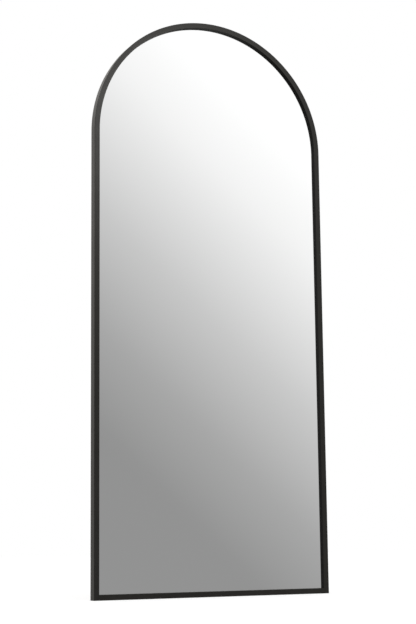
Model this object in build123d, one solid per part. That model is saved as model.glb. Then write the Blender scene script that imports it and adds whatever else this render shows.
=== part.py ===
from build123d import *
import os
from math import asin, cos, degrees, radians, sin

# Arched full-length wall mirror in a slim aluminium frame.
# Millimetres. +Z is up, +X is to the right of a person who faces the glass, and the front looks to -Y.
# The origin is the middle of the bottom rail's underside.
# An inset is measured inwards from the frame's outer side, a depth backwards from its front face.

os.makedirs("parts", exist_ok=True)

# Frame extrusion
overall_height = 1800.0
overall_width = 780.0
frame_depth = 30.0
face_width = 16.5
wall = 1.6
glass_recess = 10.5
flange_width = 24.0
flange_thickness = 1.6
outer_edge_radius = 0.8
inner_edge_radius = 0.5
rear_edge_radius = 0.6

# Glazing, from the seat backwards
tape_thickness = 0.5
tape_width = 8.0
tape_set_back = 2.5
glass_thickness = 4.0
glass_edge_gap = 2.4
film_thickness = 0.3
foam_thickness = 2.0
foam_margin = 3.0
board_thickness = 4.0
board_edge_gap = 1.2
board_clearance = 0.2

# Rubber blocks round the edge of the glass
block_length = 40.0
block_from_side = 170.0
spacer_length = 30.0
spacer_above_foot = 320.0
spacer_below_spring = 230.0

# Corner keys in the front chamber
key_leg = 48.0
key_clearance = 0.1
key_screw_from_end = 10.0
key_screw_spacing = 15.0
key_screw_radius = 1.5
key_screw_bite = 7.2
key_screw_end_gap = 0.7
key_head_radius = 2.8
key_head_height = 1.5

# Plates across the mitres at the back
plate_thickness = 1.5
plate_width = 17.0
plate_leg = 74.0
plate_side_gap = 1.0
plate_corner_radius = 2.0
plate_screw_from_end = 12.0
plate_screw_spacing = 30.0

# Tapping screws in the rear flange
tapping_radius = 1.75
tapping_head_radius = 3.5
tapping_head_height = 2.1
tapping_end_gap = 0.8
screw_clearance = 0.08
recess_depth = 1.0
recess_width = 0.8
recess_length = 3.0

# Hangers: a folded strap round the straight bar of a D-ring
hanger_below_spring = 70.0
hanger_side_gap = 2.4
strap_sheet = 1.2
strap_fold = 6.0
strap_side_gap = 1.5
strap_screw_gap = 4.2
strap_screw_spacing = 14.0
strap_end = 8.0
ring_wire_radius = 1.25
ring_width = 22.0
ring_drop = 15.0
ring_shoulder_radius = 3.0
ring_bow_flat = 2.3
bar_clearance = 0.08
ring_rest_gap = 0.3

# Wall bumpers
bumper_radius = 8.0
bumper_tip_radius = 7.0
bumper_tip_edge_radius = 0.6
bumper_standoff = 2.0
bumper_floor = 3.0
bumper_bore_radius = 4.2
bumper_side_gap = 3.4
bumper_plate_gap = 33.0
bumper_upper_angle = 42.0

# Values that follow
arch_radius = overall_width / 2
spring_height = overall_height - arch_radius
glass_front = glass_recess
seat_back = glass_front - tape_thickness
glass_back = glass_front + glass_thickness
film_back = glass_back + film_thickness
foam_back = film_back + foam_thickness
board_back = foam_back + board_thickness
flange_front = board_back + board_clearance
flange_back = flange_front + flange_thickness
glass_inset = wall + glass_edge_gap
chamber_width = face_width - 2 * wall
chamber_depth = seat_back - 2 * wall
chamber_middle_inset = face_width / 2
chamber_middle_depth = seat_back / 2
key_inset = wall + key_clearance
key_width = chamber_width - 2 * key_clearance
key_thickness = chamber_depth - 2 * key_clearance
key_screw_last = key_inset + key_leg - key_screw_from_end
key_screws = (key_screw_last - key_screw_spacing, key_screw_last)
rail_screw_length = key_inset + key_screw_bite
stile_screw_length = wall + key_clearance + key_thickness - key_screw_end_gap
plate_inset = wall + plate_side_gap
plate_line = plate_inset + plate_width / 2
plate_screw_last = plate_inset + plate_leg - plate_screw_from_end
plate_screws = (plate_screw_last - plate_screw_spacing, plate_screw_last)
tapping_hole_radius = tapping_radius + screw_clearance
under_flange = flange_thickness + board_clearance + board_thickness - tapping_end_gap
loop_inner_radius = ring_wire_radius + bar_clearance
loop_outer_radius = loop_inner_radius + strap_sheet
strap_thickness = 2 * strap_sheet
strap_width = ring_width - 4 * ring_wire_radius - 2 * strap_side_gap
strap_screw_first = ring_drop + ring_wire_radius + strap_screw_gap + tapping_head_radius
strap_screws = (strap_screw_first, strap_screw_first + strap_screw_spacing)
strap_length = strap_screws[-1] + strap_end
ring_bow_radius = ring_width / 2 - ring_wire_radius - ring_bow_flat / 2
ring_rise = strap_thickness + ring_wire_radius + ring_rest_gap - loop_outer_radius
ring_tilt = degrees(asin(ring_rise / ring_drop))
hanger_inset = wall + hanger_side_gap + ring_width / 2
hanger_height = spring_height - hanger_below_spring
bumper_height = frame_depth - flange_back + bumper_standoff
bumper_inset = wall + bumper_side_gap + bumper_radius
bumper_lower_height = plate_inset + plate_leg + bumper_plate_gap + bumper_radius
cutter_overrun = 1.0

sides = {"left": -1, "right": 1}


def row_y(depth):
    """The row's Y of a depth behind the front face."""
    return depth - frame_depth / 2


def arch_outline(inset):
    """The mirror's outline, drawn inwards by an inset: straight sides, square foot, half-round top."""
    half = arch_radius - inset
    foot = Polyline((-half, spring_height), (-half, inset), (half, inset), (half, spring_height))
    top = ThreePointArc((half, spring_height), (0, spring_height + half), (-half, spring_height))
    return make_face(foot + top)


def sheet(inset, front, back):
    """A sheet of the mirror's outline between two depths."""
    return extrude(Plane.XZ.offset(-row_y(back)) * arch_outline(inset), amount=back - front)


def edge_ring(outer_inset, inner_inset, front, back):
    """A band that follows the outline between two insets and two depths."""
    hole = sheet(inner_inset, front - cutter_overrun, back + cutter_overrun)
    return sheet(outer_inset, front, back) - hole


def frame_section():
    """The extrusion's section: X is the inset and Y the depth."""
    section = make_face(
        Polyline(
            (0, 0),
            (face_width, 0),
            (face_width, seat_back),
            (wall, seat_back),
            (wall, flange_front),
            (flange_width, flange_front),
            (flange_width, flange_back),
            (wall, flange_back),
            (wall, frame_depth),
            (0, frame_depth),
            close=True,
        )
    )
    section = fillet(section.vertices().group_by(Axis.Y)[0].sort_by(Axis.X)[0], outer_edge_radius)
    section = fillet(section.vertices().group_by(Axis.Y)[0].sort_by(Axis.X)[-1], inner_edge_radius)
    section = fillet(section.vertices().group_by(Axis.Y)[-1].sort_by(Axis.X)[0], rear_edge_radius)
    chamber = Pos(chamber_middle_inset, chamber_middle_depth) * Rectangle(chamber_width, chamber_depth)
    return section - chamber


def rail_wedge():
    """Everything below the two mitres, which run inwards at 45 degrees from the lower corners."""
    reach = 2 * flange_width
    wedge = make_face(
        Polyline(
            (-arch_radius - reach, -reach),
            (arch_radius + reach, -reach),
            (arch_radius - reach, reach),
            (-arch_radius + reach, reach),
            close=True,
        )
    )
    return extrude(Plane.XZ * wedge, amount=frame_depth, both=True)


def plate_points():
    """Places of the corner plates' screws, as X and Z: up the stiles and along the rail."""
    points = []
    for side in sides.values():
        for distance in plate_screws:
            points.append((side * (arch_radius - plate_line), distance))
            points.append((side * (arch_radius - distance), plate_line))
    return points


def hanger_points():
    """Places of the strap screws, as X and Z."""
    x = arch_radius - hanger_inset
    return [(side * x, hanger_height - below) for side in sides.values() for below in strap_screws]


def bumper_point(side, level):
    """The place of one bumper: low on a stile, or up on the arch."""
    if level == "lower":
        return (side * (arch_radius - bumper_inset), bumper_lower_height)
    reach = arch_radius - bumper_inset
    lean = radians(bumper_upper_angle)
    return (side * reach * sin(lean), spring_height + reach * cos(lean))


def bumper_points():
    """Places of all four bumpers."""
    return [bumper_point(side, level) for side in sides.values() for level in ("lower", "upper")]


def rear_holes():
    """Holes of every tapping screw, through the flange and into the board behind it."""
    length = flange_back - foam_back + 2 * cutter_overrun
    places = plate_points() + hanger_points() + bumper_points()
    hole = Cylinder(tapping_hole_radius, length, align=(Align.CENTER, Align.CENTER, Align.MAX))
    back = row_y(flange_back + cutter_overrun)
    return [Pos(x, back, z) * Rot(-90, 0, 0) * hole for x, z in places]


def cross_recess(height):
    """The cross that a driver fits, cut down into a screw head from its top."""
    slot = Box(recess_length, recess_width, recess_depth, align=(Align.CENTER, Align.CENTER, Align.MAX))
    return Pos(0, 0, height) * (slot + Rot(0, 0, 90) * slot)


def pan_screw(length):
    """A tapping screw whose pan head stands on Z = 0 and whose shank points to -Z."""
    head = Cylinder(tapping_head_radius, tapping_head_height, align=(Align.CENTER, Align.CENTER, Align.MIN))
    head = fillet(head.edges().group_by(Axis.Z)[-1], tapping_head_height / 2)
    shank = Cylinder(tapping_radius, length, align=(Align.CENTER, Align.CENTER, Align.MAX))
    shank = chamfer(shank.edges().group_by(Axis.Z)[0], tapping_radius / 2)
    return head + shank - cross_recess(tapping_head_height)


def flat_head():
    """The cone of a countersunk head, flush with Z = 0."""
    downwards = (Align.CENTER, Align.CENTER, Align.MAX)
    return Cone(key_screw_radius, key_head_radius, key_head_height, align=downwards)


def countersunk_screw(length):
    """A key screw whose flat head is flush with Z = 0 and whose shank points to -Z."""
    shank = Cylinder(key_screw_radius, length, align=(Align.CENTER, Align.CENTER, Align.MAX))
    return flat_head() + shank - cross_recess(0)


def countersink(length):
    """The hole of a countersunk screw, with its cone cut to the screw head's own size."""
    radius = key_screw_radius + screw_clearance
    return flat_head() + Cylinder(radius, length, align=(Align.CENTER, Align.CENTER, Align.MAX))


def rail_screw_places():
    """Locations of the screws that go up through the rail's underside into the keys."""
    y = row_y(chamber_middle_depth)
    reach = [side * (arch_radius - d) for side in sides.values() for d in key_screws]
    return [Pos(x, y, 0) * Rot(180, 0, 0) for x in reach]


def stile_screw_places():
    """Locations of the screws that go forwards through the glass seat into the keys."""
    x = arch_radius - chamber_middle_inset
    y = row_y(seat_back)
    return [Pos(side * x, y, z) * Rot(-90, 0, 0) for side in sides.values() for z in key_screws]


def make_arch_frame():
    """The bent extrusion: two stiles and the half-round arch, mitred at both feet."""
    section = Pos(-arch_radius, -frame_depth / 2) * frame_section()
    stile = extrude(section, amount=spring_height)
    arch_axis = Axis((0, 0, spring_height), (0, 1, 0))
    arch = revolve(Pos(0, 0, spring_height) * section, arch_axis, 180)
    frame = stile + arch + mirror(stile, Plane.YZ)
    frame -= rail_wedge()
    frame -= rear_holes()
    return frame - [place * countersink(seat_back) for place in stile_screw_places()]


def make_bottom_rail():
    """The straight extrusion between the mitres."""
    start = Plane(origin=(arch_radius, -frame_depth / 2, 0), x_dir=(0, 0, 1), z_dir=(-1, 0, 0))
    rail = extrude(start * frame_section(), amount=overall_width) & rail_wedge()
    rail -= rear_holes()
    return rail - [place * countersink(rail_screw_length) for place in rail_screw_places()]


def make_corner_key(side):
    """An L-shaped key that joins the chambers of a stile and the rail."""
    corner = Pos(-arch_radius + key_inset, key_inset)
    leg = Rectangle(key_leg, key_width, align=(Align.MIN, Align.MIN))
    shape = corner * (leg + Rectangle(key_width, key_leg, align=(Align.MIN, Align.MIN)))
    back = chamber_middle_depth + key_thickness / 2
    key = extrude(Plane.XZ.offset(-row_y(back)) * shape, amount=key_thickness)
    if side > 0:
        key = mirror(key, Plane.YZ)
    key -= [place * countersink(rail_screw_length + cutter_overrun) for place in rail_screw_places()]
    return key - [place * countersink(seat_back) for place in stile_screw_places()]


def make_corner_plate(side):
    """A flat L-shaped plate on the rear flanges, across the mitre."""
    corner = Pos(-arch_radius + plate_inset, plate_inset)
    leg = Rectangle(plate_leg, plate_width, align=(Align.MIN, Align.MIN))
    shape = corner * (leg + Rectangle(plate_width, plate_leg, align=(Align.MIN, Align.MIN)))
    shape = fillet(shape.vertices(), plate_corner_radius)
    back = flange_back + plate_thickness
    plate = extrude(Plane.XZ.offset(-row_y(back)) * shape, amount=plate_thickness)
    if side > 0:
        plate = mirror(plate, Plane.YZ)
    hole = Cylinder(tapping_hole_radius, plate_thickness + 2 * cutter_overrun)
    middle = row_y(back - plate_thickness / 2)
    return plate - [Pos(x, middle, z) * Rot(-90, 0, 0) * hole for x, z in plate_points()]


def edge_block(band, x, z, width, height):
    """The stretch of the band beside the glass that lies within a box about X and Z."""
    return band & Pos(x, 0, z) * Box(width, 2 * frame_depth, height)


def strap_section():
    """The strap seen from its side: X is the distance behind the flange, Y the height over the bar."""
    leaves = Pos(strap_thickness / 2, -(strap_fold + strap_length) / 2)
    leaves *= Rectangle(strap_thickness, strap_length - strap_fold)
    eye = Pos(loop_outer_radius, 0)
    crease = Pos(strap_sheet, -strap_fold) * Circle(bar_clearance)
    outside = make_hull((eye * Circle(loop_outer_radius)).edges() + leaves.edges().sort_by(Axis.Y)[-1:])
    inside = make_hull((eye * Circle(loop_inner_radius)).edges() + crease.edges())
    return leaves + outside - inside


def make_hanger_strap(side):
    """A strip folded round the ring's bar, with both leaves screwed to the flange."""
    x = side * (arch_radius - hanger_inset)
    y = row_y(flange_back)
    start = Plane(origin=(x - strap_width / 2, y, hanger_height), x_dir=(0, 1, 0), z_dir=(1, 0, 0))
    strap = extrude(start * strap_section(), amount=strap_width)
    hole = Cylinder(tapping_hole_radius, 2 * strap_thickness + 2 * cutter_overrun)
    return strap - [Pos(x, y, hanger_height - d) * Rot(-90, 0, 0) * hole for d in strap_screws]


def make_hanger_ring(side):
    """A D-ring, hanging down from its bar and leaning on the strap."""
    width = ring_width - 2 * ring_wire_radius
    loop = Pos(0, -ring_drop / 2) * Rectangle(width, ring_drop)
    loop = fillet(loop.vertices().group_by(Axis.Y)[-1], ring_shoulder_radius)
    loop = fillet(loop.vertices().group_by(Axis.Y)[0], ring_bow_radius)
    path = (Plane.XZ * loop).face().outer_wire()
    ring = sweep(Plane.YZ * Circle(ring_wire_radius), path=path)
    x = side * (arch_radius - hanger_inset)
    bar = Pos(x, row_y(flange_back + loop_outer_radius), hanger_height)
    return bar * Rot(ring_tilt, 0, 0) * ring


def make_bumper(side, level):
    """A tapered rubber bumper with a sunk bore for its screw."""
    upwards = (Align.CENTER, Align.CENTER, Align.MIN)
    body = Cone(bumper_radius, bumper_tip_radius, bumper_height, align=upwards)
    body = fillet(body.edges().group_by(Axis.Z)[-1], bumper_tip_edge_radius)
    bore = Cylinder(bumper_bore_radius, bumper_height - bumper_floor, align=upwards)
    body -= Pos(0, 0, bumper_floor) * bore
    body -= Cylinder(tapping_hole_radius, 2 * bumper_height)
    x, z = bumper_point(side, level)
    return Pos(x, row_y(flange_back), z) * Rot(-90, 0, 0) * body


def rear_screws(points, seat_height):
    """Tapping screws whose heads stand a seat height behind the flange."""
    screw = pan_screw(seat_height + under_flange)
    y = row_y(flange_back + seat_height)
    return [Pos(x, y, z) * Rot(-90, 0, 0) * screw for x, z in points]


def make_backing_board():
    """The fibre board, drilled where the tapping screws bite."""
    return sheet(wall + board_edge_gap, foam_back, board_back) - rear_holes()


def make_pieces():
    """Every sub-part by its node name: a solid, or a list of like solids."""
    pieces = {
        "arch_frame": make_arch_frame(),
        "bottom_rail": make_bottom_rail(),
        "mirror_glass": sheet(glass_inset, glass_front, glass_back),
        "safety_film": sheet(glass_inset, glass_back, film_back),
        "foam_sheet": sheet(glass_inset + foam_margin, film_back, foam_back),
        "backing_board": make_backing_board(),
    }
    tape_inset = face_width - tape_set_back
    pieces["glazing_tape"] = edge_ring(tape_inset - tape_width, tape_inset, seat_back, glass_front)

    band = edge_ring(wall, glass_inset, glass_front, glass_back)
    spacers = [edge_block(band, 0, overall_height, spacer_length, 2 * glass_inset)]
    for name, side in sides.items():
        block_x = side * (arch_radius - block_from_side)
        pieces["setting_block_" + name] = edge_block(band, block_x, 0, block_length, 2 * glass_inset)
        for height in (spacer_above_foot, spring_height - spacer_below_spring):
            spacers.append(edge_block(band, side * arch_radius, height, 2 * glass_inset, spacer_length))
        pieces["corner_key_" + name] = make_corner_key(side)
        pieces["corner_plate_" + name] = make_corner_plate(side)
        pieces["hanger_strap_" + name] = make_hanger_strap(side)
        pieces["hanger_ring_" + name] = make_hanger_ring(side)
        for level in ("lower", "upper"):
            pieces["bumper_" + level + "_" + name] = make_bumper(side, level)
    pieces["edge_spacers"] = spacers

    rail_screw = countersunk_screw(rail_screw_length)
    stile_screw = countersunk_screw(stile_screw_length)
    pieces["rail_screws"] = [place * rail_screw for place in rail_screw_places()]
    pieces["stile_screws"] = [place * stile_screw for place in stile_screw_places()]
    pieces["corner_plate_screws"] = rear_screws(plate_points(), plate_thickness)
    pieces["hanger_screws"] = rear_screws(hanger_points(), strap_thickness)
    pieces["bumper_screws"] = rear_screws(bumper_points(), bumper_floor)
    return pieces


for node, piece in make_pieces().items():
    solids = piece if isinstance(piece, list) else [piece]
    shape = Compound(children=[solid for item in solids for solid in item.solids()])
    export_step(shape, "parts/" + node + ".step")
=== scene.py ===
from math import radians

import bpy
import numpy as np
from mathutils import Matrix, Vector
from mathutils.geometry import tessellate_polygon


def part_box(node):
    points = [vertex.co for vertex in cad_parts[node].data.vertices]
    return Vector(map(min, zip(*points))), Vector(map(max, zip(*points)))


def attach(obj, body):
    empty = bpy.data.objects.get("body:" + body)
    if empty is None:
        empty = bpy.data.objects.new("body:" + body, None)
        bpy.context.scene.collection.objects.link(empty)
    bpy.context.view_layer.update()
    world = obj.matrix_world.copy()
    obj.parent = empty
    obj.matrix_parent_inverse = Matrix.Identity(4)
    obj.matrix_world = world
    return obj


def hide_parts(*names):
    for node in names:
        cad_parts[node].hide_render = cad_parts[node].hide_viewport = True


bl_info = {
    "name": "Arched wall mirror",
    "version": (1, 0, 0),
    "blender": (4, 5, 0),
    "location": "3D View > Sidebar > Mirror",
    "description": "Finishes a full-length arched wall mirror and sets up its studio",
    "category": "Object",
}

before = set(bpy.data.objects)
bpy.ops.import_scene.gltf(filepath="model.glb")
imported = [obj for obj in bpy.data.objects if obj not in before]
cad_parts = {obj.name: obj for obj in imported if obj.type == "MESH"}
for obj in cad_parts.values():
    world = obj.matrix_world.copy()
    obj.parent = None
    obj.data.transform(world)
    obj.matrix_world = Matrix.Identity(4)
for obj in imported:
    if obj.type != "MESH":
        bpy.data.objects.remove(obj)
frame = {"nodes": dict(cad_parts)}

# Places in metres, in the part's frame: +Z up, +X to the right from the front, the front looks to -Y.
# An inset is measured inwards from the frame's outer side, a depth backwards from its front face.
FRAME_LOW, FRAME_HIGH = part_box("arch_frame")
HALF_WIDTH = FRAME_HIGH.x
FRAME_FRONT = FRAME_LOW.y
FRAME_DEPTH = FRAME_HIGH.y - FRAME_LOW.y
SPRING_HEIGHT = FRAME_HIGH.z - HALF_WIDTH
SEAT_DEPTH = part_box("glazing_tape")[0].y - FRAME_FRONT
FLANGE_BACK_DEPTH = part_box("corner_plate_left")[0].y - FRAME_FRONT

SIDES = ("left", "right")
MIRROR_BODY = "mirror"
STRAIGHTENED = "straightened"
WELD_REACH = 0.000002
FLOOR_CELLS = 8
# The direction along which the surroundings grow lighter for reflected rays
LEANING = (0.595, 0.397, 0.699)


class FrameSettings(bpy.types.PropertyGroup):
    """The aluminium extrusion and its black coat"""

    face_width: bpy.props.FloatProperty(
        name="Face width", description="Width of the front face", default=0.0165, min=0.008, unit="LENGTH"
    )
    wall: bpy.props.FloatProperty(
        name="Wall",
        description="Thickness of the extrusion's walls",
        default=0.0016,
        min=0.0008,
        unit="LENGTH",
    )
    flange_width: bpy.props.FloatProperty(
        name="Flange width",
        description="How far the rear flange reaches in from the outer side",
        default=0.024,
        min=0.01,
        unit="LENGTH",
    )
    flange_thickness: bpy.props.FloatProperty(
        name="Flange thickness",
        description="Thickness of the rear flange",
        default=0.0016,
        min=0.0008,
        unit="LENGTH",
    )
    outer_edge: bpy.props.FloatProperty(
        name="Outer edge", description="Radius of the front face's outer edge", default=0.0008, unit="LENGTH"
    )
    inner_edge: bpy.props.FloatProperty(
        name="Inner edge", description="Radius of the front face's inner edge", default=0.0005, unit="LENGTH"
    )
    rear_edge: bpy.props.FloatProperty(
        name="Rear edge", description="Radius of the rear outer edge", default=0.0006, unit="LENGTH"
    )
    small_edge: bpy.props.FloatProperty(
        name="Small edges", description="Radius of every other edge", default=0.00015, unit="LENGTH"
    )
    arch_steps: bpy.props.IntProperty(
        name="Arch steps", description="Number of steps round the half circle", default=180, min=24
    )
    stile_steps: bpy.props.IntProperty(
        name="Stile steps", description="Number of steps up each stile", default=16, min=1
    )
    corner_steps: bpy.props.IntProperty(
        name="Corner steps", description="Number of steps round each edge of the section", default=6, min=2
    )
    coat_dark: bpy.props.FloatVectorProperty(
        name="Darkest coat",
        description="Colour of the coat where it is darkest",
        default=(0.0040, 0.0036, 0.0031),
        subtype="COLOR",
        min=0.0,
        max=1.0,
    )
    coat_light: bpy.props.FloatVectorProperty(
        name="Lightest coat",
        description="Colour of the coat where it is lightest",
        default=(0.0074, 0.0068, 0.0060),
        subtype="COLOR",
        min=0.0,
        max=1.0,
    )
    coat_tint: bpy.props.FloatVectorProperty(
        name="Coat tint",
        description="Tint of what the coat reflects",
        default=(1.0, 0.97, 0.89),
        subtype="COLOR",
        min=0.0,
        max=1.0,
    )
    coat_roughness: bpy.props.FloatProperty(
        name="Coat roughness", description="Middle of the coat's roughness", default=0.36, subtype="FACTOR"
    )
    coat_gloss: bpy.props.FloatProperty(
        name="Coat gloss", description="Strength of the coat's reflection", default=0.33, subtype="FACTOR"
    )
    # Painted shade: the coat's reflection is turned down on the wall beside the glass, so that the recess
    # looks darker than the front face.
    recess_shade_gloss: bpy.props.FloatProperty(
        name="Inner gloss",
        description="Strength of the reflection on the wall beside the glass, which looks flatter",
        default=0.04,
        subtype="FACTOR",
    )


class GlassSettings(bpy.types.PropertyGroup):
    """The silvered glass"""

    silver: bpy.props.FloatVectorProperty(
        name="Silver",
        description="Colour of what the glass reflects",
        default=(0.955, 0.958, 0.956),
        subtype="COLOR",
        min=0.0,
        max=1.0,
    )
    polish: bpy.props.FloatProperty(
        name="Polish", description="Roughness of the cleanest glass", default=0.012, subtype="FACTOR"
    )
    haze: bpy.props.FloatProperty(
        name="Haze", description="Roughness of the dullest glass", default=0.03, subtype="FACTOR"
    )


class BackSettings(bpy.types.PropertyGroup):
    """The board and the fittings behind the glass"""

    board_dark: bpy.props.FloatVectorProperty(
        name="Dark fibres",
        description="Colour of the board's dark fibres",
        default=(0.13, 0.075, 0.036),
        subtype="COLOR",
        min=0.0,
        max=1.0,
    )
    board_light: bpy.props.FloatVectorProperty(
        name="Light fibres",
        description="Colour of the board's light fibres",
        default=(0.36, 0.235, 0.135),
        subtype="COLOR",
        min=0.0,
        max=1.0,
    )
    zinc: bpy.props.FloatVectorProperty(
        name="Zinc",
        description="Colour of the zinc plating",
        default=(0.62, 0.63, 0.65),
        subtype="COLOR",
        min=0.0,
        max=1.0,
    )
    zinc_shade: bpy.props.FloatVectorProperty(
        name="Shaded zinc",
        description="Colour of the zinc plating's darker patches",
        default=(0.42, 0.43, 0.44),
        subtype="COLOR",
        min=0.0,
        max=1.0,
    )
    rubber: bpy.props.FloatVectorProperty(
        name="Rubber",
        description="Colour of the bumpers and blocks",
        default=(0.018, 0.018, 0.019),
        subtype="COLOR",
        min=0.0,
        max=1.0,
    )


class StudioSettings(bpy.types.PropertyGroup):
    """The camera, floor and light"""

    camera_place: bpy.props.FloatVectorProperty(
        name="Camera place",
        description="Where the camera stands",
        default=(-1.8244, -3.8888, 0.1956),
        subtype="XYZ",
        unit="LENGTH",
    )
    camera_turn: bpy.props.FloatProperty(
        name="Camera turn", description="Turn from +Y towards +X", default=radians(25.02), subtype="ANGLE"
    )
    camera_tilt: bpy.props.FloatProperty(
        name="Camera tilt", description="Upward tilt", default=radians(8.91), subtype="ANGLE"
    )
    camera_roll: bpy.props.FloatProperty(
        name="Camera roll", description="Clockwise roll", default=radians(0.629), subtype="ANGLE"
    )
    camera_lens: bpy.props.FloatProperty(
        name="Lens", description="Focal length on a 36 mm sensor", default=80.64, unit="CAMERA"
    )
    floor_size: bpy.props.FloatProperty(
        name="Floor size", description="Side of the square floor", default=14.0, unit="LENGTH"
    )
    floor_gap: bpy.props.FloatProperty(
        name="Floor gap", description="How far the floor lies under the mirror", default=0.0002, unit="LENGTH"
    )
    key_place: bpy.props.FloatVectorProperty(
        name="Lamp place",
        description="Middle of the soft lamp",
        default=(0.63, -2.7, 2.4),
        subtype="XYZ",
        unit="LENGTH",
    )
    key_aim: bpy.props.FloatVectorProperty(
        name="Lamp aim",
        description="Point that the soft lamp faces",
        default=(-0.37, 0.0, 1.5),
        subtype="XYZ",
        unit="LENGTH",
    )
    key_size: bpy.props.FloatProperty(
        name="Lamp size", description="Side of the soft lamp", default=0.8, unit="LENGTH"
    )
    key_watts: bpy.props.FloatProperty(
        name="Lamp power", description="Power of the soft lamp", default=14.0, unit="POWER"
    )
    room_light: bpy.props.FloatProperty(
        name="Room light", description="Strength of the even light from all round", default=0.95, min=0.0
    )


class MirrorSettings(bpy.types.PropertyGroup):
    """All settings of the mirror and its studio"""

    frame: bpy.props.PointerProperty(type=FrameSettings, name="Frame", description="The aluminium frame")
    glass: bpy.props.PointerProperty(type=GlassSettings, name="Glass", description="The silvered glass")
    back: bpy.props.PointerProperty(type=BackSettings, name="Back", description="The board and the fittings")
    studio: bpy.props.PointerProperty(
        type=StudioSettings, name="Studio", description="The camera, the floor and the light"
    )


def rounded_outline(corners, steps):
    """Points and outward normals of a closed outline of straight runs with round corners.

    A corner c of radius r, reached in direction a and left in direction b, becomes the quarter arc
    c + r (b - a) + r (a sin t - b cos t), with t from 0 to 90 degrees. Its normal is a sin t - b cos t
    where the outline turns left, and the opposite where it turns right.
    """
    places = np.array([corner[:2] for corner in corners])
    radii = np.array([corner[2] for corner in corners])[:, None, None]
    arriving = places - np.roll(places, 1, axis=0)
    arriving /= np.linalg.norm(arriving, axis=1, keepdims=True)
    leaving = np.roll(arriving, -1, axis=0)
    turn = np.sign(arriving[:, 0] * leaving[:, 1] - arriving[:, 1] * leaving[:, 0])[:, None, None]
    t = np.linspace(0.0, np.pi / 2, steps + 1)[None, :, None]
    bend = arriving[:, None, :] * np.sin(t) - leaving[:, None, :] * np.cos(t)
    points = places[:, None, :] + radii * (leaving - arriving)[:, None, :] + radii * bend
    return points.reshape(-1, 2), (turn * bend).reshape(-1, 2)


def frame_path(arch_steps, stile_steps):
    """The stations of the frame's path: the arch's angle and the share of the stile climbed.

    The path climbs the left stile at 180 degrees, goes round the half circle and comes down the right
    stile at 0 degrees.
    """
    climb = np.linspace(0.0, 1.0, stile_steps + 1)[:-1]
    arch = np.linspace(np.pi, 0.0, arch_steps + 1)
    angle = np.concatenate([np.full(stile_steps, np.pi), arch, np.zeros(stile_steps)])
    share = np.concatenate([climb, np.ones(arch_steps + 1), climb[::-1]])
    return angle, share


def carried_round(outline, normals, angle, share):
    """An outline in inset i and depth d, carried round the frame's path.

    At angle a and share f of the stile it lies at x = (R - i) cos a, y = front + d and
    z = (1 - f) i + f S + (R - i) sin a, where R is half the mirror's width and S the height at which the
    arch springs. At f = 0 that is z = i, the plane of the mitre. The third array is the same place with
    the frame laid out straight: the way along it, y and i.
    """
    inset = outline[None, :, 0]
    depth = outline[None, :, 1]
    cosine = np.cos(angle)[:, None]
    sine = np.sin(angle)[:, None]
    share = share[:, None]
    x = (HALF_WIDTH - inset) * cosine
    y = FRAME_FRONT + depth + 0.0 * x
    z = (1 - share) * inset + share * SPRING_HEIGHT + (HALF_WIDTH - inset) * sine
    points = np.stack([x, y, z], axis=-1)
    inwards = normals[None, :, 0]
    backwards = normals[None, :, 1] + 0.0 * x
    facing = np.stack([-inwards * cosine, backwards, -inwards * sine], axis=-1)
    going_down = (share < 1) & (cosine > 0)
    arch_length = HALF_WIDTH * (np.pi - angle)[:, None]
    along = np.where(going_down, 2 * SPRING_HEIGHT + arch_length - z, share * SPRING_HEIGHT + arch_length)
    along = np.where((share < 1) & (cosine < 0), z, along)
    laid_out = np.stack([along, y, inset + 0.0 * x], axis=-1)
    return points, facing, laid_out


def tube_faces(rings, points_in_ring, first):
    """Quads between the rings of a tube whose ring outlines are closed."""
    ring = np.arange(rings - 1)[:, None]
    point = np.arange(points_in_ring)[None, :]
    beside = (point + 1) % points_in_ring
    here = first + ring * points_in_ring
    ahead = here + points_in_ring
    quads = np.stack([here + point, here + beside, ahead + beside, ahead + point], axis=-1)
    return quads.reshape(-1, 4)


def end_faces(outlines, first_points, facing_back):
    """Triangles that close one end of a hollow tube, between its outline and its bore."""
    loops = [[Vector((x, y, 0.0)) for x, y in outline] for outline in outlines]
    numbers = np.concatenate([first + np.arange(len(o)) for first, o in zip(first_points, outlines)])
    corners = np.concatenate(outlines)
    triangles = np.array(tessellate_polygon(loops))
    a, b, c = (corners[triangles[:, k]] for k in range(3))
    area = (b[:, 0] - a[:, 0]) * (c[:, 1] - a[:, 1]) - (b[:, 1] - a[:, 1]) * (c[:, 0] - a[:, 0])
    turned = np.where((area > 0)[:, None] == facing_back, triangles[:, ::-1], triangles)
    return numbers[turned[np.abs(area) > 0]]


def new_object(name, points, faces):
    """A mesh object of these points and faces, linked to the scene."""
    mesh = bpy.data.meshes.new(name)
    mesh.from_pydata(points.tolist(), [], [face for group in faces for face in group.tolist()])
    mesh.validate()
    made = bpy.data.objects.new(name, mesh)
    bpy.context.scene.collection.objects.link(made)
    return made


def add(tree, kind, sockets=None, **settings):
    """A new node. Sockets are set by name or number, and joined where the value is a socket."""
    made = tree.nodes.new(kind)
    for name, value in settings.items():
        setattr(made, name, value)
    for name, value in (sockets or {}).items():
        if isinstance(value, bpy.types.NodeSocket):
            tree.links.new(value, made.inputs[name])
        else:
            made.inputs[name].default_value = value
    return made


def grey(value):
    """A neutral colour."""
    return (value, value, value)


def opaque(colour):
    """A colour with full alpha."""
    return (*colour, 1.0)


def colours(tree, factor, stops):
    """A colour ramp over a factor. A stop is a position and a colour."""
    ramp = add(tree, "ShaderNodeValToRGB", {"Fac": factor})
    elements = ramp.color_ramp.elements
    elements[0].position, elements[0].color = stops[0][0], opaque(stops[0][1])
    elements[1].position, elements[1].color = stops[-1][0], opaque(stops[-1][1])
    for position, colour in stops[1:-1]:
        elements.new(position).color = opaque(colour)
    return ramp.outputs["Color"]


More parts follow.
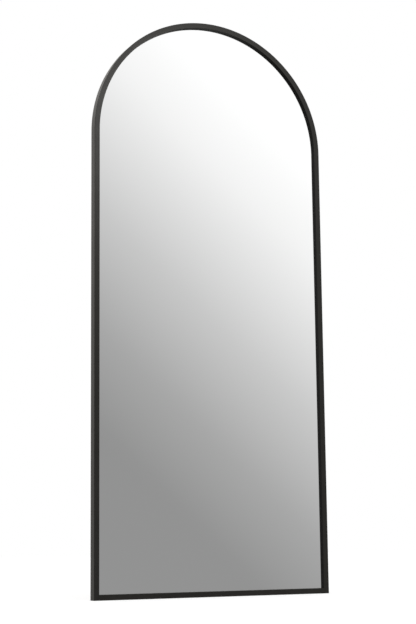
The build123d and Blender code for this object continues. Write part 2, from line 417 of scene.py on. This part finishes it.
def scaled(tree, place, scale):
    """A place stretched by a scale along each axis."""
    return add(tree, "ShaderNodeMapping", {"Vector": place, "Scale": scale}).outputs["Vector"]


def noise(tree, place, scale, detail=2.0):
    """Fractal noise from 0 to 1."""
    sockets = {"Vector": place, "Scale": scale, "Detail": detail}
    return add(tree, "ShaderNodeTexNoise", sockets).outputs["Fac"]


def between(tree, value, low, high, value_low=0.3, value_high=0.7):
    """A value spread from one range to another, and kept within it."""
    sockets = {"Value": value, "From Min": value_low, "From Max": value_high, "To Min": low, "To Max": high}
    return add(tree, "ShaderNodeMapRange", sockets).outputs["Result"]


def maths(tree, operation, first, second):
    """The result of one sum."""
    return add(tree, "ShaderNodeMath", {0: first, 1: second}, operation=operation).outputs["Value"]


def mixed(tree, factor, first, second, blend="MIX"):
    """Two colours mixed."""
    made = add(tree, "ShaderNodeMix", {0: factor, 6: first, 7: second}, data_type="RGBA", blend_type=blend)
    return made.outputs[2]


def raised(tree, height, distance, strength=1.0, normal=None):
    """A bump of a height from 0 to 1, over a distance in metres."""
    sockets = {"Height": height, "Distance": distance, "Strength": strength}
    if normal is not None:
        sockets["Normal"] = normal
    return add(tree, "ShaderNodeBump", sockets).outputs["Normal"]


def new_material(name):
    """A material with only an output and a Principled shader: (material, tree, shader)."""
    material = bpy.data.materials.new(name)
    material.use_nodes = True
    tree = material.node_tree
    tree.nodes.clear()
    shader = add(tree, "ShaderNodeBsdfPrincipled")
    add(tree, "ShaderNodeOutputMaterial", {"Surface": shader.outputs["BSDF"]})
    return material, tree, shader


def finish(tree, shader, sockets):
    """Sets or joins the shader's sockets."""
    for name, value in sockets.items():
        if isinstance(value, bpy.types.NodeSocket):
            tree.links.new(value, shader.inputs[name])
        else:
            shader.inputs[name].default_value = value


def object_place(tree):
    """The place on the object, in metres."""
    return add(tree, "ShaderNodeTexCoord").outputs["Object"]


def black_coat(name, settings, laid_out, gloss):
    """Satin black coat over extruded aluminium: faint die lines, fine grain and soft smudges.

    The die lines run along the frame: along +X of the place, or of the place laid out straight.
    """
    material, tree, shader = new_material(name)
    if laid_out:
        place = add(tree, "ShaderNodeAttribute", attribute_name=STRAIGHTENED).outputs["Vector"]
    else:
        place = object_place(tree)
    lines_per_metre = 1400.0
    broad_lines_per_metre = 320.0
    grain_per_metre = 2600.0
    smudges_per_metre = 11.0
    lines = scaled(tree, place, (5.0, lines_per_metre, lines_per_metre))
    lines = noise(tree, lines, 1.0, 3.0)
    broad_lines = scaled(tree, place, (1.5, broad_lines_per_metre, broad_lines_per_metre))
    broad_lines = noise(tree, broad_lines, 1.0, 1.0)
    grain = noise(tree, place, grain_per_metre, 2.0)
    smudges = noise(tree, place, smudges_per_metre, 4.0)
    line_share = 0.55
    line_tone = maths(tree, "MULTIPLY", lines, line_share)
    tone = maths(tree, "ADD", line_tone, maths(tree, "MULTIPLY", smudges, 1.0 - line_share))
    colour = colours(tree, tone, [(0.35, settings.coat_dark), (0.65, settings.coat_light)])
    wear = maths(tree, "MULTIPLY", maths(tree, "ADD", smudges, broad_lines), 0.5)
    low = settings.coat_roughness - 0.05
    high = settings.coat_roughness + 0.06
    roughness = between(tree, wear, low, high)
    line_relief = 0.000012
    grain_relief = 0.00002
    normal = raised(tree, lines, line_relief, 0.6)
    normal = raised(tree, grain, grain_relief, 0.35, normal)
    sockets = {"Base Color": colour, "Roughness": roughness, "Normal": normal}
    tint = opaque(settings.coat_tint)
    finish(tree, shader, {**sockets, "Specular IOR Level": gloss, "Specular Tint": tint})
    return material


def silvered_glass(settings):
    """Silvered float glass, seen as its silver, with the faintest haze where it was wiped."""
    material, tree, shader = new_material("silvered_glass")
    place = object_place(tree)
    wiped = noise(tree, scaled(tree, place, (3.0, 1.0, 1.2)), 3.0, 4.0)
    roughness = between(tree, wiped, settings.polish, settings.haze, 0.35, 0.75)
    dimmer = 0.985
    shade = tuple(dimmer * value for value in settings.silver)
    colour = colours(tree, noise(tree, place, 1.3, 1.0), [(0.3, shade), (0.7, settings.silver)])
    finish(tree, shader, {"Base Color": colour, "Roughness": roughness, "Metallic": 1.0})
    return material


def fibre_board(settings):
    """Hard fibre board: pressed brown fibres with darker specks and a faint sheen."""
    material, tree, shader = new_material("fibre_board")
    place = object_place(tree)
    fibres_per_metre = 520.0
    specks_per_metre = 1500.0
    clouds_per_metre = 14.0
    fibres = noise(tree, scaled(tree, place, (1.0, 1.0, 0.45)), fibres_per_metre, 5.0)
    specks = noise(tree, place, specks_per_metre, 2.0)
    clouds = noise(tree, place, clouds_per_metre, 3.0)
    colour = colours(tree, fibres, [(0.32, settings.board_dark), (0.68, settings.board_light)])
    speck_shade = colours(tree, specks, [(0.36, (0.45, 0.4, 0.36)), (0.46, (1.0, 1.0, 1.0))])
    cloud_shade = colours(tree, clouds, [(0.3, (0.8, 0.79, 0.78)), (0.7, (1.0, 1.0, 1.0))])
    colour = mixed(tree, 0.7, colour, speck_shade, "MULTIPLY")
    colour = mixed(tree, 0.45, colour, cloud_shade, "MULTIPLY")
    roughness = between(tree, fibres, 0.5, 0.72)
    fibre_relief = 0.00012
    normal = raised(tree, fibres, fibre_relief, 0.5)
    finish(tree, shader, {"Base Color": colour, "Roughness": roughness, "Normal": normal})
    return material


def zinc_plate(name, settings, rub):
    """Zinc-plated steel: a cold grey with paler flakes, fine rub marks along an axis and a dull bloom."""
    material, tree, shader = new_material(name)
    place = object_place(tree)
    flakes_per_metre = 420.0
    blooms_per_metre = 60.0
    flakes = add(tree, "ShaderNodeTexVoronoi", {"Vector": place, "Scale": flakes_per_metre}).outputs["Color"]
    flake_tone = add(tree, "ShaderNodeSeparateColor", {"Color": flakes}).outputs["Red"]
    marks = noise(tree, scaled(tree, place, rub), 1.0, 2.0)
    bloom = noise(tree, place, blooms_per_metre, 3.0)
    flake_share = 0.35
    flake_tone = maths(tree, "MULTIPLY", flake_tone, flake_share)
    tone = maths(tree, "ADD", flake_tone, maths(tree, "MULTIPLY", bloom, 1.0 - flake_share))
    colour = colours(tree, tone, [(0.25, settings.zinc_shade), (0.7, settings.zinc)])
    roughness = between(tree, maths(tree, "ADD", maths(tree, "MULTIPLY", marks, 0.5), 0.25), 0.24, 0.42)
    mark_relief = 0.00002
    normal = raised(tree, marks, mark_relief, 0.5)
    finish(tree, shader, {"Base Color": colour, "Roughness": roughness, "Normal": normal, "Metallic": 0.9})
    return material


def black_rubber(name, settings):
    """Moulded rubber: matt black with a fine grain and a dusty bloom."""
    material, tree, shader = new_material(name)
    place = object_place(tree)
    grain_per_metre = 3200.0
    dust_per_metre = 160.0
    dust_paleness = 2.4
    grain = noise(tree, place, grain_per_metre, 2.0)
    dust = noise(tree, place, dust_per_metre, 4.0)
    dusty = tuple(dust_paleness * value for value in settings.rubber)
    colour = colours(tree, dust, [(0.4, settings.rubber), (0.75, dusty)])
    roughness = between(tree, dust, 0.62, 0.8)
    grain_relief = 0.00003
    normal = raised(tree, grain, grain_relief, 0.5)
    finish(tree, shader, {"Base Color": colour, "Roughness": roughness, "Normal": normal})
    return material


def plain_sheet(name, dark, light, scale, roughness):
    """A matt sheet or casting with a fine mottle."""
    material, tree, shader = new_material(name)
    mottle = noise(tree, object_place(tree), scale, 4.0)
    colour = colours(tree, mottle, [(0.3, dark), (0.7, light)])
    mottle_relief = 0.00005
    normal = raised(tree, mottle, mottle_relief, 0.4)
    finish(tree, shader, {"Base Color": colour, "Roughness": roughness, "Normal": normal})
    return material


def black_oxide():
    """Black oxide on a screw: a dark blue-black metal with a brown tinge in places."""
    material, tree, shader = new_material("black_oxide")
    patches_per_metre = 900.0
    patches = noise(tree, object_place(tree), patches_per_metre, 3.0)
    colour = colours(tree, patches, [(0.35, (0.018, 0.018, 0.022)), (0.7, (0.05, 0.042, 0.038))])
    roughness = between(tree, patches, 0.35, 0.5)
    finish(tree, shader, {"Base Color": colour, "Roughness": roughness, "Metallic": 0.8})
    return material


def dress(material, *nodes):
    """Gives CAD nodes a material."""
    for name in nodes:
        for place in frame["nodes"][name].material_slots:
            place.material = material


def soften(width, *nodes):
    """Rounds the sharp edges of sheet-metal nodes: their loose triangles are welded, then bevelled."""
    for name in nodes:
        piece = frame["nodes"][name]
        weld = piece.modifiers.new("weld", "WELD")
        weld.merge_threshold = WELD_REACH
        bevel = piece.modifiers.new("bevel", "BEVEL")
        bevel.width = width
        bevel.segments = 2
        bevel.limit_method = "ANGLE"
        bevel.angle_limit = radians(50)
        bevel.harden_normals = True


def both_sides(name):
    """The names of a left and a right node."""
    return [name + "_" + side for side in SIDES]


class MIRROR_OT_arch_frame(bpy.types.Operator):
    """Carry the extrusion's section up one stile, round the arch and down the other"""

    bl_idname = "wall_mirror.arch_frame"
    bl_label = "Arch frame"

    def execute(self, context):
        size = context.scene.wall_mirror.frame
        flange_front = FLANGE_BACK_DEPTH - size.flange_thickness
        edge = size.small_edge
        section = [
            (0.0, 0.0, size.outer_edge),
            (size.face_width, 0.0, size.inner_edge),
            (size.face_width, SEAT_DEPTH, edge),
            (size.wall, SEAT_DEPTH, edge),
            (size.wall, flange_front, edge),
            (size.flange_width, flange_front, edge),
            (size.flange_width, FLANGE_BACK_DEPTH, edge),
            (size.wall, FLANGE_BACK_DEPTH, edge),
            (size.wall, FRAME_DEPTH, edge),
            (0.0, FRAME_DEPTH, size.rear_edge),
        ]
        chamber = [
            (size.wall, size.wall, edge),
            (size.wall, SEAT_DEPTH - size.wall, edge),
            (size.face_width - size.wall, SEAT_DEPTH - size.wall, edge),
            (size.face_width - size.wall, size.wall, edge),
        ]
        angle, share = frame_path(size.arch_steps, size.stile_steps)
        points, facing, laid_out, faces, outlines, starts = [], [], [], [], [], [0]
        for corners in (section, chamber):
            outline, normals = rounded_outline(corners, size.corner_steps)
            carried = carried_round(outline, normals, angle, share)
            for kept, made in zip((points, facing, laid_out), carried):
                kept.append(made.reshape(-1, 3))
            faces.append(tube_faces(len(angle), len(outline), starts[-1]))
            outlines.append(outline)
            starts.append(starts[-1] + len(points[-1]))
        last_rings = [end - len(outline) for end, outline in zip(starts[1:], outlines)]
        faces.append(end_faces(outlines, starts[:-1], True))
        faces.append(end_faces(outlines, last_rings, False))
        arch = new_object("arch_extrusion", np.concatenate(points), faces)
        arch.data.shade_smooth()
        arch.data.normals_split_custom_set_from_vertices(np.concatenate(facing))
        place = arch.data.attributes.new(STRAIGHTENED, "FLOAT_VECTOR", "POINT")
        place.data.foreach_set("vector", np.concatenate(laid_out).ravel().astype(np.float32))
        arch.data.materials.append(black_coat("black_coat_arch", size, True, size.coat_gloss))
        # The same coat with its reflection turned down goes on the wall beside the glass, as painted shade
        # for the recess.
        arch.data.materials.append(black_coat("black_coat_painted_shade_beside_glass", size, True, size.recess_shade_gloss))
        beside_glass = 2 * (size.corner_steps + 1) - 1
        for number in range(beside_glass, len(faces[0]), len(outlines[0])):
            arch.data.polygons[number].material_index = 1
        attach(arch, MIRROR_BODY)
        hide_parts("arch_frame")
        return {"FINISHED"}


class MIRROR_OT_bottom_rail(bpy.types.Operator):
    """Coat the straight rail to match the arch"""

    bl_idname = "wall_mirror.bottom_rail"
    bl_label = "Bottom rail"

    def execute(self, context):
        size = context.scene.wall_mirror.frame
        dress(black_coat("black_coat_rail", size, False, size.coat_gloss), "bottom_rail")
        return {"FINISHED"}


class MIRROR_OT_mirror_glass(bpy.types.Operator):
    """Silver the glass"""

    bl_idname = "wall_mirror.mirror_glass"
    bl_label = "Mirror glass"

    def execute(self, context):
        dress(silvered_glass(context.scene.wall_mirror.glass), "mirror_glass")
        return {"FINISHED"}


class MIRROR_OT_glazing(bpy.types.Operator):
    """Finish what cushions the glass: tape, film, foam, blocks and spacers"""

    bl_idname = "wall_mirror.glazing"
    bl_label = "Glazing"

    def execute(self, context):
        back = context.scene.wall_mirror.back
        tape = plain_sheet("foam_tape", (0.015, 0.015, 0.015), (0.035, 0.035, 0.035), 1800.0, 0.9)
        film = plain_sheet("grey_film", (0.24, 0.27, 0.3), (0.34, 0.38, 0.42), 40.0, 0.5)
        foam = plain_sheet("white_foam", (0.68, 0.68, 0.66), (0.86, 0.86, 0.84), 1400.0, 0.95)
        dress(tape, "glazing_tape")
        dress(film, "safety_film")
        dress(foam, "foam_sheet")
        dress(black_rubber("block_rubber", back), *both_sides("setting_block"), "edge_spacers")
        return {"FINISHED"}


class MIRROR_OT_backing_board(bpy.types.Operator):
    """Finish the fibre board"""

    bl_idname = "wall_mirror.backing_board"
    bl_label = "Backing board"

    def execute(self, context):
        dress(fibre_board(context.scene.wall_mirror.back), "backing_board")
        return {"FINISHED"}


class MIRROR_OT_corner_joints(bpy.types.Operator):
    """Finish the corner keys, plates and their screws"""

    bl_idname = "wall_mirror.corner_joints"
    bl_label = "Corner joints"

    def execute(self, context):
        back = context.scene.wall_mirror.back
        casting = plain_sheet("die_cast_key", (0.38, 0.38, 0.37), (0.55, 0.55, 0.54), 700.0, 0.45)
        dress(casting, *both_sides("corner_key"))
        dress(black_oxide(), "rail_screws")
        plates = zinc_plate("zinc_plates", back, (40.0, 40.0, 1500.0))
        dress(plates, *both_sides("corner_plate"), "stile_screws", "corner_plate_screws")
        soften(0.0003, *both_sides("corner_plate"))
        return {"FINISHED"}


class MIRROR_OT_hangers(bpy.types.Operator):
    """Finish the folded straps, their D-rings and screws"""

    bl_idname = "wall_mirror.hangers"
    bl_label = "Hangers"

    def execute(self, context):
        back = context.scene.wall_mirror.back
        straps = zinc_plate("zinc_straps", back, (1500.0, 40.0, 40.0))
        dress(straps, *both_sides("hanger_strap"), *both_sides("hanger_ring"), "hanger_screws")
        soften(0.00025, *both_sides("hanger_strap"))
        return {"FINISHED"}


class MIRROR_OT_bumpers(bpy.types.Operator):
    """Finish the rubber bumpers and their screws"""

    bl_idname = "wall_mirror.bumpers"
    bl_label = "Bumpers"

    def execute(self, context):
        back = context.scene.wall_mirror.back
        rubber = black_rubber("bumper_rubber", back)
        dress(rubber, *both_sides("bumper_lower"), *both_sides("bumper_upper"))
        dress(zinc_plate("zinc_bumper_screws", back, (40.0, 40.0, 1500.0)), "bumper_screws")
        return {"FINISHED"}


def make_camera(studio):
    """A camera that looks along +Y, turned, tilted and rolled."""
    camera = bpy.data.objects.new("camera", bpy.data.cameras.new("camera"))
    camera.data.lens = studio.camera_lens
    turn = Matrix.Rotation(-studio.camera_turn, 4, "Z")
    tilt = Matrix.Rotation(studio.camera_tilt, 4, "X")
    roll = Matrix.Rotation(studio.camera_roll, 4, "Y")
    upright = Matrix.Rotation(radians(90), 4, "X")
    camera.matrix_world = Matrix.Translation(studio.camera_place) @ turn @ tilt @ roll @ upright
    bpy.context.scene.collection.objects.link(camera)
    bpy.context.scene.camera = camera


def make_floor(studio):
    """A pale floor just under the mirror. It is white to the camera and keeps a soft shadow."""
    reach = studio.floor_size / 2
    steps = np.linspace(-reach, reach, FLOOR_CELLS + 1)
    x, y = np.meshgrid(steps, steps)
    points = np.stack([x, y, np.full_like(x, -studio.floor_gap)], axis=-1).reshape(-1, 3)
    row = FLOOR_CELLS + 1
    cell = np.arange(FLOOR_CELLS)
    corner = (cell[:, None] * row + cell[None, :]).reshape(-1)
    squares = np.stack([corner, corner + 1, corner + row + 1, corner + row], axis=-1)
    floor = new_object("floor", points, [squares])
    material = bpy.data.materials.new("pale_floor")
    material.use_nodes = True
    tree = material.node_tree
    tree.nodes.clear()
    mottle = noise(tree, object_place(tree), 3.0, 2.0)
    colour = colours(tree, mottle, [(0.3, grey(0.5)), (0.7, grey(0.52))])
    matt = add(tree, "ShaderNodeBsdfDiffuse", {"Color": colour}).outputs["BSDF"]
    seen = add(tree, "ShaderNodeLightPath").outputs["Is Camera Ray"]
    glow = add(tree, "ShaderNodeEmission", {"Color": opaque(grey(0.6)), "Strength": seen})
    glow = glow.outputs["Emission"]
    both = add(tree, "ShaderNodeAddShader", {0: matt, 1: glow}).outputs["Shader"]
    add(tree, "ShaderNodeOutputMaterial", {"Surface": both})
    floor.data.materials.append(material)
    floor.visible_glossy = False


def make_lamp(studio):
    """A soft square lamp above and in front, to the right.

    It lights only the frame, so that the glass shows no lamp.
    """
    lamp = bpy.data.lights.new("soft_lamp", "AREA")
    lamp.shape = "SQUARE"
    lamp.size = studio.key_size
    lamp.energy = studio.key_watts
    lamp.color = (0.93, 0.95, 1.0)
    holder = bpy.data.objects.new("soft_lamp", lamp)
    place = Vector(studio.key_place)
    facing = (Vector(studio.key_aim) - place).to_track_quat("-Z", "Y")
    holder.matrix_world = Matrix.LocRotScale(place, facing, None)
    bpy.context.scene.collection.objects.link(holder)
    lit = bpy.data.collections.new("lit_by_soft_lamp")
    for piece in (bpy.data.objects["arch_extrusion"], frame["nodes"]["bottom_rail"]):
        lit.objects.link(piece)
    holder.light_linking.receiver_collection = lit


def make_surroundings(studio):
    """White to the camera, even light on everything, and a studio's soft gradient in what is shiny.

    In front of the mirror the gradient follows how far a direction leans to the right, back and up, which
    the dot product with LEANING measures. Behind it, it follows the height alone.
    """
    world = bpy.data.worlds.new("studio")
    bpy.context.scene.world = world
    world.use_nodes = True
    tree = world.node_tree
    tree.nodes.clear()
    direction = add(tree, "ShaderNodeTexCoord").outputs["Generated"]
    lean = add(tree, "ShaderNodeVectorMath", {0: direction, 1: LEANING}, operation="DOT_PRODUCT")
    lean = between(tree, lean.outputs["Value"], 0.0, 1.0, -1.0, 1.0)
    in_front = colours(
        tree,
        lean,
        [
            (0.08, grey(0.45)),
            (0.20, grey(0.80)),
            (0.30, grey(0.92)),
            (0.35, grey(0.92)),
            (0.383, grey(0.50)),
            (0.402, grey(0.305)),
            (0.4438, grey(0.305)),
            (0.47, grey(0.41)),
            (0.50, grey(0.61)),
            (0.54, grey(0.95)),
            (0.56, grey(1.06)),
        ],
    )
    apart = add(tree, "ShaderNodeSeparateXYZ", {"Vector": direction})
    behind = colours(tree, apart.outputs["Z"], [(0.0, (0.55, 0.54, 0.515)), (0.35, (1.0, 0.98, 0.94))])
    side = between(tree, apart.outputs["Y"], 0.0, 1.0, -0.1, 0.15)
    reflected = mixed(tree, side, in_front, behind)
    path = add(tree, "ShaderNodeLightPath")
    plain = add(tree, "ShaderNodeRGB")
    plain.outputs[0].default_value = opaque(grey(studio.room_light))
    unseen = mixed(tree, path.outputs["Is Glossy Ray"], plain.outputs[0], reflected)
    colour = mixed(tree, path.outputs["Is Camera Ray"], unseen, opaque(grey(1.0)))
    background = add(tree, "ShaderNodeBackground", {"Color": colour, "Strength": 1.0})
    add(tree, "ShaderNodeOutputWorld", {"Surface": background.outputs["Background"]})


class MIRROR_OT_studio(bpy.types.Operator):
    """Set up the camera, the floor and the light"""

    bl_idname = "wall_mirror.studio"
    bl_label = "Studio"

    def execute(self, context):
        studio = context.scene.wall_mirror.studio
        make_camera(studio)
        make_floor(studio)
        make_lamp(studio)
        make_surroundings(studio)
        context.scene.view_settings.view_transform = "Standard"
        return {"FINISHED"}


OPERATORS = (
    MIRROR_OT_arch_frame,
    MIRROR_OT_bottom_rail,
    MIRROR_OT_mirror_glass,
    MIRROR_OT_glazing,
    MIRROR_OT_backing_board,
    MIRROR_OT_corner_joints,
    MIRROR_OT_hangers,
    MIRROR_OT_bumpers,
    MIRROR_OT_studio,
)


class MIRROR_PT_panel(bpy.types.Panel):
    """The mirror's steps, in order"""

    bl_idname = "MIRROR_PT_panel"
    bl_label = "Arched wall mirror"
    bl_space_type = "VIEW_3D"
    bl_region_type = "UI"
    bl_category = "Mirror"

    def draw(self, context):
        for step in OPERATORS:
            self.layout.operator(step.bl_idname)


CLASSES = (
    FrameSettings,
    GlassSettings,
    BackSettings,
    StudioSettings,
    MirrorSettings,
    *OPERATORS,
    MIRROR_PT_panel,
)


def register():
    for item in CLASSES:
        bpy.utils.register_class(item)
    bpy.types.Scene.wall_mirror = bpy.props.PointerProperty(
        type=MirrorSettings, name="Wall mirror", description="Settings of the mirror"
    )


def unregister():
    del bpy.types.Scene.wall_mirror
    for item in reversed(CLASSES):
        bpy.utils.unregister_class(item)


def main():
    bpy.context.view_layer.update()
    register()
    for step in OPERATORS:
        group, name = step.bl_idname.split(".")
        getattr(getattr(bpy.ops, group), name)()


if __name__ == "__main__":
    main()
